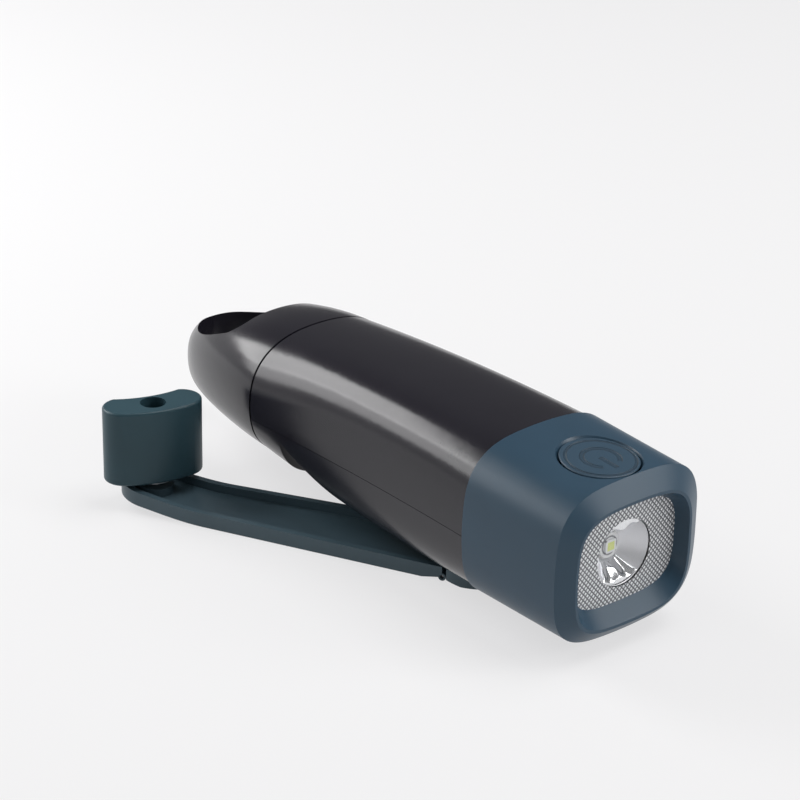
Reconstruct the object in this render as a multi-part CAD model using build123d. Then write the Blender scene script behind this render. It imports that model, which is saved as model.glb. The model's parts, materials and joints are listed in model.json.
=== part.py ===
"""Hand crank flashlight: two-part body, teal head, looped tail cap and a folding crank.

Millimetres. +X runs along the body to the lamp, +Z is up. The origin is where the crank
axis meets the surface that the flashlight stands on. The crank is drawn swung out to one
side, as it is when somebody has just pulled it from under the body.
"""

from build123d import *
import math
import os

# ---------------------------------------------------------------- driving dimensions
# Body shell: stations along X, each with its half width, lowest and crown height and
# the power of its superellipse.
SEAM_X = 21.1
MIDDLE_X = -24.2
TAIL_SEAM_X = -69.5
BODY_STATIONS = (SEAM_X, MIDDLE_X, TAIL_SEAM_X)
BODY_HALF_WIDTHS = (25.4, 24.3, 25.3)
BODY_LOWS = (5.0, 5.8, 9.8)
BODY_CROWNS = (49.6, 49.9, 48.3)
BODY_POWERS = (3.2, 3.2, 2.45)
BODY_WALL = 1.8
PARTING_Z = 25.0
PARTING_GAP = 0.15
SECTION_POINTS = 24

# Finger scoop under the rear of the body.
SCOOP_START = (-27.1, 5.6)
SCOOP_MIDDLE = (-44.6, 15.1)
SCOOP_END = (-57.6, 22.4)

# Head.
CREASE_X = 54.4
MOUTH_X = 57.3
HEAD_LOW = 4.55
HEAD_REAR = (26.1, 50.3, 3.2)
HEAD_FRONT = (25.0, 48.0, 3.5)
HEAD_WALL = 2.0
MOUTH_CENTRE_Z = 25.0
MOUTH_HALF_WIDTH = 19.6
MOUTH_HALF_HEIGHT = 16.5
MOUTH_LAND = 0.8
MOUTH_POWER = 3.6

# Lamp, seen from the mouth inwards.
LAMP_Z = 25.9
LENS_FACE_X = 53.4
LENS_THICKNESS = 2.2
LENS_HALF_WIDTH = 19.4
LENS_HALF_HEIGHT = 14.7
LENS_LIP = 1.4
LENS_POWER = 3.6
WINDOW_RADIUS = 9.3
WINDOW_RECESS = 0.3
GASKET_THICKNESS = 0.8
GASKET_WIDTH = 1.6
REFLECTOR_FLANGE = 0.8
REFLECTOR_DEPTH = 3.4
REFLECTOR_THROAT = 4.0
REFLECTOR_WALL = 0.8
LED_BOARD_RADIUS = 10.0
LED_BOARD_THICKNESS = 1.6
LED_SIZE = 3.6
LED_COLLAR_RADIUS = 3.5

# Power button in the head's top.
BUTTON_X = 43.3
BUTTON_TOP_Z = 47.6
BUTTON_SEAT_Z = 45.6
BUTTON_RADIUS = 9.9
BUTTON_HOLE_RADIUS = 10.2
BUTTON_DISH_Z = 46.9
BUTTON_DISH_SLOPE = 0.6
BUTTON_FLANGE_RADIUS = 10.7
BUTTON_FLANGE = 0.9
BUTTON_TRAVEL = 0.6
BUTTON_EDGE = 0.5

# Crank hub and shaft.
HUB_RADIUS = 14.2
HUB_THICKNESS = 4.1
SHAFT_RADIUS = 4.0
SHAFT_SOCKET_Z = 1.2
JOURNAL_RADIUS = 2.0
BUSH_WALL = 1.5
BUSH_FOOT_Z = 4.3
BUSH_TOP_Z = 8.4
RUNNING_GAP = 0.05

# Hinge between hub and arm. The pin lies close to the outer faces, and both parts are
# relieved beside it, so that the arm can fold right over.
PIN_DISTANCE = 6.2
PIN_RADIUS = 0.6
KNUCKLE_RADIUS = 1.1
KNUCKLE_GAP = 0.3
TONGUE_HALF_WIDTH = 7.6
FOLD_LIMIT = 158.0
RELIEF_MARGIN = 0.5

# Arm, drawn along +X from the crank axis, and turned to its place at the end.
REST_SWING = 208.5
ARM_ROOT_HALF_WIDTH = 13.0
ARM_END_HALF_WIDTH = 9.4
ARM_THICKNESS = 4.1
ARM_FLOOR = 1.7
ARM_RIM = 2.0
ARM_BEND_START = 78.0
ARM_TIP_RISE = 3.3
CRANK_RADIUS = 98.1

# Knob and its axle.
KNOB_HALF_LENGTH = 14.4
KNOB_BULGE = 6.5
KNOB_SHOULDER = (10.5, 4.7)
KNOB_HOLLOW = 5.0
KNOB_HORN = (9.6, 6.6)
KNOB_BOTTOM_Z = 7.95
KNOB_TOP_Z = 30.3
KNOB_HOLE_RADIUS = 3.65
KNOB_HOLE_DEPTH = 13.0
KNOB_TURN = 74.0
KNOB_EDGE = 0.8
AXLE_RADIUS = 2.5
AXLE_HEAD_RADIUS = 3.3
AXLE_HEAD_HEIGHT = 2.0
AXLE_COLLAR_RADIUS = 5.5

# Tail cap.
TIP_X = -127.9
TAIL_SEAM_GAP = 0.7
TAPER_POWER = 1.333
TAIL_CROWN_DROP = 17.5
TAIL_LOW_RISE = 2.1
TIP_ROUNDING = 14
LOOP_FRONT_X = -89.2
LOOP_CENTRE_X = -95.6
LOOP_LENGTH = 25.8
LOOP_HALF_WIDTH = 16.0
LOOP_CORNER = 5.0

# Neck that the tail cap goes over, with the charging socket in its end.
NECK_LENGTH = 13.0
NECK_HALF_WIDTH = 16.0
NECK_HALF_HEIGHT = 10.0
NECK_CENTRE_Z = 28.0
NECK_POWER = 4.0
NECK_WALL = 2.0
NECK_CLEARANCE = 0.2
BULKHEAD_THICKNESS = 2.0
RING_FROM_END = 5.0
RING_WIDTH = 1.6
RING_DEPTH = 1.2
SOCKET_WIDTH = 9.0
SOCKET_HEIGHT = 3.3
SOCKET_DEPTH = 7.0
SOCKET_WALL = 0.35

# Gear train: drive gear, two compound idlers, rotor pinion.
PRESSURE_ANGLE = 25.0
BACKLASH = 0.12
DRIVE_TEETH = 48
PINION_TEETH = 12
WHEEL_TEETH = 36
DRIVE_MODULE = 0.6
WHEEL_MODULE = 0.5
DRIVE_Z = (9.6, 12.2)
WHEEL_1_Z = (12.6, 14.4)
WHEEL_2_Z = (14.9, 16.7)
IDLER_1_DIRECTION = 160.0
IDLER_2_DIRECTION = 235.0
ROTOR_DIRECTION = 165.0
GEAR_AXLE_RADIUS = 1.0
GEAR_AXLE_FOOT_Z = 8.0
BOSS_RADIUS = 2.4
BOSS_GAP = 0.35

# Gearbox plate and generator.
PLATE_Z = (17.3, 18.5)
PLATE_X = (-42.6, 10.6)
PLATE_HALF_WIDTH = 17.6
POST_RADIUS = 2.0
POST_PLACES = ((8.4, 15.5), (8.4, -15.5), (-40.4, 13.5), (-40.4, -13.5))
MAGNET_RADIUS = 6.5
MAGNET_Z = (19.3, 23.0)
STATOR_RADIUS = 11.0
STATOR_Z = (18.6, 23.7)
STATOR_WALL = 1.2
AIR_GAP = 0.4

# Cell, cradle, boards.
CELL_RADIUS = 9.1
CELL_LENGTH = 65.0
CELL_FRONT_X = 15.6
CELL_Z = 34.3
CRADLE_WALL = 1.1
CRADLE_GAP = 0.15
CRADLE_LEG = 2.0
CRADLE_FRONT_LEG_X = 8.0
CRADLE_REAR_LEG_X = -42.0
BOARD_Z = 38.55
BOARD_THICKNESS = 1.6
BOARD_X = (22.4, 47.4)
BOARD_HALF_WIDTH = 14.0
SWITCH_SIZE = 6.0
SWITCH_HEIGHT = 2.9
SWITCH_PLUNGER = 0.9
CARRIER_WALL = 1.8
CARRIER_BEAM_Y = 11.5
CARRIER_BEAM_Z = (26.0, BOARD_Z)

# Screws that join the two halves of the body.
SCREW_PLACES = ((15.2, 16.0), (15.2, -16.0), (-63.6, 15.5), (-63.6, -15.5))
SCREW_BOSS_RADIUS = 2.6
SCREW_RADIUS = 1.1
SCREW_HEAD_RADIUS = 2.0
SCREW_HEAD_HEIGHT = 1.6
SCREW_SEAT_Z = 16.0
SCREW_TOP_Z = 31.0


# ---------------------------------------------------------------- helpers
def through_three(x, stations, values):
    """Value at x on the parabola through three stations."""
    total = 0.0
    for i in range(3):
        share = values[i]
        for j in range(3):
            if j != i:
                share *= (x - stations[j]) / (stations[i] - stations[j])
        total += share
    return total


def outline(x, half_width, low, high, power):
    """Upright superellipse face at x, between the heights low and high."""
    middle = (low + high) / 2
    half_height = (high - low) / 2
    points = []
    for k in range(SECTION_POINTS):
        angle = 2 * math.pi * (k + 0.5) / SECTION_POINTS
        across = math.cos(angle)
        upward = math.sin(angle)
        y = half_width * math.copysign(abs(across) ** (2 / power), across)
        z = middle + half_height * math.copysign(abs(upward) ** (2 / power), upward)
        points.append((x, y, z))
    return Face(Wire([Spline(*points, periodic=True)]))


def slab(face, length):
    """Push an upright face along X by a signed length."""
    direction = Vector(math.copysign(1, length), 0, 0)
    return extrude(face, amount=abs(length), dir=direction)


def filled(curves):
    """Face inside a closed run of curves."""
    edges = []
    for curve in curves:
        edges.extend(curve.edges())
    return Face(Wire(edges))


def side_profile(curves, half_width):
    """Solid between y = -half_width and +half_width over a closed profile in XZ."""
    return extrude(filled(curves), amount=half_width, dir=(0, 1, 0), both=True)


def cylinder(radius, z_from, z_to, x=0.0, y=0.0):
    """Upright cylinder between two heights."""
    middle = (z_from + z_to) / 2
    return Pos(x, y, middle) * Cylinder(radius, z_to - z_from)


def lying_cylinder(radius, x_from, x_to, y, z):
    """Cylinder along X."""
    middle = (x_from + x_to) / 2
    return Pos(middle, y, z) * Rot(0, 90, 0) * Cylinder(radius, abs(x_to - x_from))


def block(x_from, x_to, y_from, y_to, z_from, z_to):
    """Box between two corners."""
    size = (x_to - x_from, y_to - y_from, z_to - z_from)
    centre = ((x_from + x_to) / 2, (y_from + y_to) / 2, (z_from + z_to) / 2)
    return Pos(*centre) * Box(*size)


def swung(shape):
    """Turn something drawn along +X to where the crank rests."""
    return Rot(0, 0, REST_SWING) * shape


# ---------------------------------------------------------------- body
def body_outline(x, inset):
    """Section of the body at x, drawn in by inset all round."""
    half_width = through_three(x, BODY_STATIONS, BODY_HALF_WIDTHS) - inset
    low = through_three(x, BODY_STATIONS, BODY_LOWS) + inset
    high = through_three(x, BODY_STATIONS, BODY_CROWNS) - inset
    power = through_three(x, BODY_STATIONS, BODY_POWERS)
    return outline(x, half_width, low, high, power)


def body_form(x_from, x_to, inset):
    """Solid form of the body between two stations, drawn in by inset."""
    steps = max(1, round(abs(x_to - x_from) / 45))
    faces = []
    for k in range(steps + 1):
        faces.append(body_outline(x_from + (x_to - x_from) * k / steps, inset))
    return loft(faces)


def scoop(grow):
    """Space of the finger scoop, grown by the given wall."""
    lift = grow * 1.15
    points = []
    for x, z in (SCOOP_START, SCOOP_MIDDLE, SCOOP_END):
        points.append((x, 0, z + lift))
    ramp = ThreePointArc(*points)
    under = Polyline(points[2], (points[2][0], 0, 0), (points[0][0], 0, 0), points[0])
    space = side_profile([ramp, under], BODY_HALF_WIDTHS[0] + BODY_WALL)
    if grow > 0:
        rear_x = points[2][0] - grow
        space += block(rear_x, points[2][0], -40, 40, 0, points[2][2])
    return space


def screw_bosses(z_from, z_to):
    """Four round pillars for the screws of the body."""
    pillars = Part()
    for x, y in SCREW_PLACES:
        pillars += cylinder(SCREW_BOSS_RADIUS, z_from, z_to, x, y)
    return pillars


def screw_cores(radius, z_from, z_to):
    """Four round cores on the axes of the screws."""
    cores = Part()
    for x, y in SCREW_PLACES:
        cores += cylinder(radius, z_from, z_to, x, y)
    return cores


def upper_shell():
    """Upper half of the body, with the bosses that take the screws."""
    half = block(TAIL_SEAM_X, SEAM_X, -40, 40, PARTING_Z + PARTING_GAP, 60)
    form = body_form(SEAM_X, TAIL_SEAM_X, 0)
    wall = form - body_form(SEAM_X, TAIL_SEAM_X, BODY_WALL)
    pillars = screw_bosses(PARTING_Z + PARTING_GAP, BODY_CROWNS[0]) & form
    shell = (wall & half) + pillars
    return shell - screw_cores(SCREW_RADIUS, PARTING_Z, SCREW_TOP_Z)


def lower_shell():
    """Lower half of the body: scoop, crank boss, axle bosses, posts and screw bosses."""
    half = block(TAIL_SEAM_X, SEAM_X, -40, 40, 0, PARTING_Z)
    form = body_form(SEAM_X, TAIL_SEAM_X, 0)
    inside = body_form(SEAM_X, TAIL_SEAM_X, BODY_WALL) - scoop(BODY_WALL)
    feet = screw_bosses(0, PARTING_Z)
    for x, y in POST_PLACES:
        feet += cylinder(POST_RADIUS, 0, PLATE_Z[0], x, y)
    for (x, y), top in zip(GEAR_AXES[1:], (DRIVE_Z[0], WHEEL_1_Z[0], WHEEL_2_Z[0])):
        feet += cylinder(BOSS_RADIUS, 0, top - BOSS_GAP, x, y)
    shell = ((form - inside) + (feet & form)) & half
    bush_radius = SHAFT_RADIUS + RUNNING_GAP + BUSH_WALL
    shell += cylinder(bush_radius + BODY_WALL, BUSH_FOOT_Z, BUSH_TOP_Z)
    shell -= cylinder(bush_radius, 0, BUSH_TOP_Z)
    shell -= scoop(0)
    for x, y in GEAR_AXES[1:3]:
        shell -= cylinder(GEAR_AXLE_RADIUS, GEAR_AXLE_FOOT_Z, PARTING_Z, x, y)
    rotor_x, rotor_y = GEAR_AXES[3]
    shell -= cylinder(GEAR_AXLE_RADIUS + RUNNING_GAP, WHEEL_1_Z[0], PARTING_Z, rotor_x, rotor_y)
    shell -= screw_cores(SCREW_RADIUS, SCREW_SEAT_Z, PARTING_Z)
    shell -= screw_cores(SCREW_HEAD_RADIUS + RUNNING_GAP, 0, SCREW_SEAT_Z)
    return shell


def shell_screws():
    """Four pan-head screws from below."""
    screws = []
    for x, y in SCREW_PLACES:
        head = cylinder(SCREW_HEAD_RADIUS, SCREW_SEAT_Z - SCREW_HEAD_HEIGHT, SCREW_SEAT_Z, x, y)
        stem = cylinder(SCREW_RADIUS, SCREW_SEAT_Z, SCREW_TOP_Z, x, y)
        screws.append(head + stem)
    return Compound(children=[screw.solid() for screw in screws])


# ---------------------------------------------------------------- head
def head_outline(x, inset):
    """Section of the head at x: it changes evenly from the rear one to the front one."""
    share = (x - SEAM_X) / (CREASE_X - SEAM_X)
    rear_width, rear_crown, rear_power = HEAD_REAR
    front_width, front_crown, front_power = HEAD_FRONT
    half_width = rear_width + share * (front_width - rear_width) - inset
    crown = rear_crown + share * (front_crown - rear_crown) - inset
    power = rear_power + share * (front_power - rear_power)
    return outline(x, half_width, HEAD_LOW + inset, crown, power)


def mouth_outline(x, grow):
    """Edge of the mouth, grown by a margin."""
    return outline(x, MOUTH_HALF_WIDTH + grow, MOUTH_CENTRE_Z - MOUTH_HALF_HEIGHT - grow,
                   MOUTH_CENTRE_Z + MOUTH_HALF_HEIGHT + grow, MOUTH_POWER)


def lens_outline(x, grow):
    """Edge of the lens, grown by a margin."""
    return outline(x, LENS_HALF_WIDTH + grow, LAMP_Z - LENS_HALF_HEIGHT - grow,
                   LAMP_Z + LENS_HALF_HEIGHT + grow, LENS_POWER)


def lens_back_x():
    """Where the lens ends and the gasket begins."""
    return LENS_FACE_X - LENS_THICKNESS


def flange_back_x():
    """Rear face of the reflector's flange."""
    return lens_back_x() - GASKET_THICKNESS - REFLECTOR_FLANGE


def head_shell():
    """Soft-touch head: hollow barrel, bevelled frame, mouth and dished button seat."""
    barrel = loft([head_outline(SEAM_X, 0), head_outline(CREASE_X, 0)])
    frame = loft([head_outline(CREASE_X, 0), mouth_outline(MOUTH_X, MOUTH_LAND)], ruled=True)
    cavity_end = flange_back_x() - LED_BOARD_THICKNESS
    cavity = loft([head_outline(SEAM_X, HEAD_WALL), head_outline(cavity_end, HEAD_WALL)])
    seat_radius = BUTTON_FLANGE_RADIUS + HEAD_WALL
    cavity -= cylinder(seat_radius, BUTTON_SEAT_Z, HEAD_REAR[1], BUTTON_X)
    shell = barrel + frame - cavity
    shell -= slab(lens_outline(cavity_end, NECK_CLEARANCE), LENS_FACE_X - cavity_end)
    shell -= loft([mouth_outline(MOUTH_X, 0), lens_outline(LENS_FACE_X, -LENS_LIP)], ruled=True)
    flange_room = BUTTON_SEAT_Z - BUTTON_FLANGE - 2 * BUTTON_TRAVEL
    shell -= cylinder(BUTTON_FLANGE_RADIUS + NECK_CLEARANCE, flange_room, BUTTON_SEAT_Z, BUTTON_X)
    shell -= cylinder(BUTTON_HOLE_RADIUS, BUTTON_SEAT_Z, BUTTON_DISH_Z, BUTTON_X)
    depth = HEAD_REAR[1] + HEAD_WALL - BUTTON_DISH_Z
    rim = BUTTON_HOLE_RADIUS + BUTTON_DISH_SLOPE * depth
    dish = Cone(BUTTON_HOLE_RADIUS, rim, depth)
    return shell - Pos(BUTTON_X, 0, BUTTON_DISH_Z + depth / 2) * dish


def power_button():
    """Round cap with a retaining flange that also presses the switch."""
    underside = BUTTON_SEAT_Z - RUNNING_GAP
    cap = cylinder(BUTTON_RADIUS, underside, BUTTON_TOP_Z, BUTTON_X)
    cap = fillet(cap.edges().sort_by(Axis.Z)[-1:], BUTTON_EDGE)
    return cap + cylinder(BUTTON_FLANGE_RADIUS, underside - BUTTON_FLANGE, underside, BUTTON_X)


def front_lens():
    """Clear plate with a round window thinned from behind."""
    plate = slab(lens_outline(lens_back_x(), 0), LENS_THICKNESS)
    recess = lying_cylinder(WINDOW_RADIUS, lens_back_x(), lens_back_x() + WINDOW_RECESS, 0, LAMP_Z)
    return plate - recess


def lens_gasket():
    """Flat seal round the back edge of the lens."""
    ring = slab(lens_outline(lens_back_x(), 0), -GASKET_THICKNESS)
    return ring - slab(lens_outline(lens_back_x(), -GASKET_WIDTH), -GASKET_THICKNESS)


def reflector():
    """Plate behind the prism field, with a shallow bowl round the light source."""
    back = flange_back_x()
    plate = slab(lens_outline(back, 0), REFLECTOR_FLANGE)
    front = back + REFLECTOR_FLANGE
    rear = front - REFLECTOR_DEPTH
    rim = Vector(front, 0, LAMP_Z + WINDOW_RADIUS)
    throat = Vector(rear, 0, LAMP_Z + REFLECTOR_THROAT)
    middle = Vector(front - REFLECTOR_DEPTH * 0.62, 0, LAMP_Z + WINDOW_RADIUS * 0.8)
    inner = ThreePointArc(rim, middle, throat)
    core = Polyline(throat, (rear, 0, LAMP_Z), (front, 0, LAMP_Z), rim)
    axis = Axis((0, 0, LAMP_Z), (1, 0, 0))
    hollow = revolve(filled([inner, core]), axis)
    outer = lying_cylinder(WINDOW_RADIUS + REFLECTOR_WALL, rear, back, 0, LAMP_Z)
    return (plate + outer) - hollow


def led_board():
    """Round board that carries the light source."""
    rear = flange_back_x() + REFLECTOR_FLANGE - REFLECTOR_DEPTH
    return lying_cylinder(LED_BOARD_RADIUS, rear - LED_BOARD_THICKNESS, rear, 0, LAMP_Z)


def led_package():
    """Light source: round collar with a square emitter standing from it."""
    rear = flange_back_x() + REFLECTOR_FLANGE - REFLECTOR_DEPTH
    collar = lying_cylinder(LED_COLLAR_RADIUS, rear, rear + LED_SIZE / 3, 0, LAMP_Z)
    half = LED_SIZE / 2
    emitter = block(rear, rear + LED_SIZE / 2, -half, half, LAMP_Z - half, LAMP_Z + half)
    return collar + emitter


def light_carrier():
    """Moulded carrier: closes the front of the body and holds the lamp and the board."""
    lamp_back = flange_back_x() + REFLECTOR_FLANGE - REFLECTOR_DEPTH - LED_BOARD_THICKNESS
    front = slab(lens_outline(lamp_back, -LENS_LIP), -CARRIER_WALL)
    front = front & block(SEAM_X, MOUTH_X, -40, 40, 0, BOARD_Z)
    rear_x = SEAM_X - CARRIER_WALL - NECK_CLEARANCE
    bulkhead = body_form(SEAM_X - NECK_CLEARANCE, rear_x, BODY_WALL + NECK_CLEARANCE)
    beams = Part()
    for side in (-1, 1):
        y_from = side * CARRIER_BEAM_Y - CARRIER_WALL / 2
        beams += block(rear_x, lamp_back, y_from, y_from + CARRIER_WALL, *CARRIER_BEAM_Z)
    return bulkhead + beams + front


def main_board():
    """Printed board over the carrier's beams, under the button."""
    top = BOARD_Z + BOARD_THICKNESS
    return block(*BOARD_X, -BOARD_HALF_WIDTH, BOARD_HALF_WIDTH, BOARD_Z, top)


def tact_switch():
    """Small square switch with a round plunger."""
    base = BOARD_Z + BOARD_THICKNESS
    half = SWITCH_SIZE / 2
    body = block(BUTTON_X - half, BUTTON_X + half, -half, half, base, base + SWITCH_HEIGHT)
    tip = base + SWITCH_HEIGHT + SWITCH_PLUNGER
    return body + cylinder(half / 2, base + SWITCH_HEIGHT, tip, BUTTON_X)


# ---------------------------------------------------------------- gear train
def along(start, distance, degrees):
    """Point at a distance from start in a direction in plan."""
    angle = math.radians(degrees)
    return (start[0] + distance * math.cos(angle), start[1] + distance * math.sin(angle))


def centre_distance(module, teeth):
    """Distance between a gear and the pinion that it drives."""
    return module * (teeth + PINION_TEETH) / 2


def gear_axes():
    """Axes of the drive gear, the two idlers and the rotor, in plan."""
    crank = (0.0, 0.0)
    idler_1 = along(crank, centre_distance(DRIVE_MODULE, DRIVE_TEETH), IDLER_1_DIRECTION)
    step = centre_distance(WHEEL_MODULE, WHEEL_TEETH)
    idler_2 = along(idler_1, step, IDLER_2_DIRECTION)
    return (crank, idler_1, idler_2, along(idler_2, step, ROTOR_DIRECTION))


GEAR_AXES = gear_axes()


def meshing_turn(direction, teeth, driver_turn):
    """Turn in degrees that puts a pinion's gap on its driver's tooth."""
    lead = (driver_turn - direction) * teeth / PINION_TEETH
    return direction + 180 + 180 / PINION_TEETH - lead


def involute(angle):
    """Involute function of a pressure angle in radians."""
    return math.tan(angle) - angle


def gear(module, teeth, z_from, z_to, turn):
    """Involute spur gear about the origin; a tooth is centred at turn degrees."""
    pressure = math.radians(PRESSURE_ANGLE)
    pitch = module * teeth / 2
    base = pitch * math.cos(pressure)
    tip = pitch + module
    root = pitch - 1.25 * module
    half_tooth = (math.pi * module / 2 - BACKLASH) / (2 * pitch)
    flank = []
    for radius in (root, max(base, root + 0.05 * module), pitch, tip):
        local = math.acos(min(1.0, base / radius))
        flank.append((radius, half_tooth + involute(pressure) - involute(local)))
    points = []
    for k in range(teeth):
        centre = math.radians(turn) + 2 * math.pi * k / teeth
        for radius, spread in flank:
            points.append((radius * math.cos(centre - spread), radius * math.sin(centre - spread)))
        for radius, spread in reversed(flank):
            points.append((radius * math.cos(centre + spread), radius * math.sin(centre + spread)))
    face = Face(Wire.make_polygon([(x, y, z_from) for x, y in points], close=True))
    return extrude(face, amount=z_to - z_from, dir=(0, 0, 1))


IDLER_1_TURN = meshing_turn(IDLER_1_DIRECTION, DRIVE_TEETH, 0.0)
IDLER_2_TURN = meshing_turn(IDLER_2_DIRECTION, WHEEL_TEETH, IDLER_1_TURN)
ROTOR_TURN = meshing_turn(ROTOR_DIRECTION, WHEEL_TEETH, IDLER_2_TURN)


def drive_gear():
    """Large gear pressed on the crank shaft."""
    wheel = gear(DRIVE_MODULE, DRIVE_TEETH, *DRIVE_Z, 0.0)
    hub = cylinder(SHAFT_RADIUS + BUSH_WALL, BUSH_TOP_Z + RUNNING_GAP, DRIVE_Z[0])
    return wheel + hub - cylinder(SHAFT_RADIUS, BUSH_TOP_Z, DRIVE_Z[1])


def idler(axis, module, pinion_z, wheel_z, turn):
    """Compound gear: a pinion below and a wheel above, on one bore."""
    pinion = gear(module, PINION_TEETH, pinion_z, wheel_z[0], turn)
    wheel = gear(WHEEL_MODULE, WHEEL_TEETH, *wheel_z, turn)
    bore = cylinder(GEAR_AXLE_RADIUS + RUNNING_GAP, pinion_z, wheel_z[1])
    return Pos(*axis) * (pinion + wheel - bore)


def idler_gear_1():
    """First idler, driven by the drive gear."""
    return idler(GEAR_AXES[1], DRIVE_MODULE, DRIVE_Z[0], WHEEL_1_Z, IDLER_1_TURN)


def idler_gear_2():
    """Second idler, driven by the first one's wheel."""
    return idler(GEAR_AXES[2], WHEEL_MODULE, WHEEL_1_Z[0], WHEEL_2_Z, IDLER_2_TURN)


def gear_axles():
    """Two fixed steel axles between the lower shell and the gearbox plate."""
    axles = []
    for x, y in GEAR_AXES[1:3]:
        axles.append(cylinder(GEAR_AXLE_RADIUS, GEAR_AXLE_FOOT_Z, PLATE_Z[1], x, y))
    return Compound(children=[axle.solid() for axle in axles])


def gearbox_plate():
    """Flat plate on the posts, with holes for the journals and the axles."""
    plate = block(*PLATE_X, -PLATE_HALF_WIDTH, PLATE_HALF_WIDTH, *PLATE_Z)
    plate = fillet(plate.edges().filter_by(Axis.Z), POST_RADIUS)
    plate -= cylinder(JOURNAL_RADIUS + RUNNING_GAP, *PLATE_Z)
    for x, y in GEAR_AXES[1:3]:
        plate -= cylinder(GEAR_AXLE_RADIUS, *PLATE_Z, x, y)
    return plate - cylinder(GEAR_AXLE_RADIUS + RUNNING_GAP, *PLATE_Z, *GEAR_AXES[3])


def rotor_shaft():
    """Steel shaft of the generator."""
    foot = WHEEL_1_Z[0] + BOSS_GAP
    return cylinder(GEAR_AXLE_RADIUS, foot, MAGNET_Z[1], *GEAR_AXES[3])


def rotor_pinion():
    """Small pinion pressed on the rotor shaft."""
    pinion = gear(WHEEL_MODULE, PINION_TEETH, *WHEEL_2_Z, ROTOR_TURN)
    return Pos(*GEAR_AXES[3]) * (pinion - cylinder(GEAR_AXLE_RADIUS, *WHEEL_2_Z))


def rotor_magnet():
    """Ring magnet pressed on the rotor shaft."""
    ring = cylinder(MAGNET_RADIUS, *MAGNET_Z) - cylinder(GEAR_AXLE_RADIUS, *MAGNET_Z)
    return Pos(*GEAR_AXES[3]) * ring


def generator_stator():
    """Steel case round the coil: outer wall and inner pole ring."""
    bottom, top = STATOR_Z
    bore = MAGNET_RADIUS + AIR_GAP
    case = cylinder(STATOR_RADIUS, bottom, top) - cylinder(bore, bottom, top)
    slot = cylinder(STATOR_RADIUS - STATOR_WALL, bottom + STATOR_WALL, top)
    slot -= cylinder(bore + STATOR_WALL, bottom + STATOR_WALL, top)
    return Pos(*GEAR_AXES[3]) * (case - slot)


def generator_coil():
    """Copper winding in the stator's slot."""
    bottom, top = STATOR_Z
    bore = MAGNET_RADIUS + AIR_GAP + STATOR_WALL
    coil = cylinder(STATOR_RADIUS - STATOR_WALL, bottom + STATOR_WALL, top)
    return Pos(*GEAR_AXES[3]) * (coil - cylinder(bore, bottom + STATOR_WALL, top))


# ---------------------------------------------------------------- cell
def battery_cell():
    """Round rechargeable cell with its raised front contact."""
    rear = CELL_FRONT_X - CELL_LENGTH
    can = lying_cylinder(CELL_RADIUS, rear, CELL_FRONT_X, 0, CELL_Z)
    tip = lying_cylinder(CELL_RADIUS / 3, CELL_FRONT_X, CELL_FRONT_X + 1, 0, CELL_Z)
    return can + tip


def battery_cradle():
    """Half trough under the cell on four legs that stand on the gearbox plate."""
    rear = CELL_FRONT_X - CELL_LENGTH
    inner = CELL_RADIUS + CRADLE_GAP
    outer = inner + CRADLE_WALL
    trough = lying_cylinder(outer, rear, CELL_FRONT_X, 0, CELL_Z)
    trough -= lying_cylinder(inner, rear, CELL_FRONT_X, 0, CELL_Z)
    trough &= block(rear, CELL_FRONT_X, -outer, outer, CELL_Z - outer, CELL_Z)
    for x in (CRADLE_REAR_LEG_X, CRADLE_FRONT_LEG_X):
        for side in (-1, 1):
            y = side * (outer + CRADLE_LEG / 2 - CRADLE_WALL / 2)
            leg_y = (y - CRADLE_LEG / 2, y + CRADLE_LEG / 2)
            trough += block(x - CRADLE_LEG, x + CRADLE_LEG, *leg_y, PLATE_Z[1], CELL_Z)
    return trough - cylinder(STATOR_RADIUS + CRADLE_GAP, *STATOR_Z, *GEAR_AXES[3])


# ---------------------------------------------------------------- crank
def relief_angle():
    """Slope beside the hinge that lets the arm fold to its limit."""
    return (180 - FOLD_LIMIT) / 2 - RELIEF_MARGIN


def hinge_edge(direction, reach, top, bottom_radius):
    """Profile in XZ from the hinge pin outwards, relieved beside the pin."""
    slope = math.radians(relief_angle())
    run = KNUCKLE_RADIUS / math.tan(slope)
    pin = (PIN_DISTANCE, 0, KNUCKLE_RADIUS)
    start = PIN_DISTANCE + direction * bottom_radius
    start_z = KNUCKLE_RADIUS - bottom_radius * math.tan(slope)
    foot = PIN_DISTANCE + direction * run
    return Polyline((start, 0, start_z), (foot, 0, 0), (reach, 0, 0), (reach, 0, top),
                    (start, 0, top), (start, 0, start_z)), pin


def crank_hub():
    """Disc under the body, cut across for the hinge, with a tongue round the pin."""
    cut = KNUCKLE_RADIUS + KNUCKLE_GAP
    side, _ = hinge_edge(-1, -HUB_RADIUS, HUB_THICKNESS, cut)
    disc = cylinder(HUB_RADIUS, 0, HUB_THICKNESS)
    plate = side_profile([side], HUB_RADIUS) & disc
    neck, pin = hinge_edge(-1, -HUB_RADIUS, HUB_THICKNESS, 0)
    tongue = side_profile([neck], TONGUE_HALF_WIDTH)
    knuckle = Pos(*pin) * Rot(90, 0, 0) * Cylinder(KNUCKLE_RADIUS, 2 * TONGUE_HALF_WIDTH)
    hub = plate + (tongue & disc) + knuckle
    hub -= Pos(*pin) * Rot(90, 0, 0) * Cylinder(PIN_RADIUS, 2 * HUB_RADIUS)
    return swung(hub - cylinder(SHAFT_RADIUS, SHAFT_SOCKET_Z, HUB_THICKNESS))


def hub_shaft():
    """Steel shaft from the hub through the bush to the gearbox plate."""
    stem = cylinder(SHAFT_RADIUS, SHAFT_SOCKET_Z, DRIVE_Z[1])
    return stem + cylinder(JOURNAL_RADIUS, DRIVE_Z[1], PLATE_Z[1])


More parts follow.
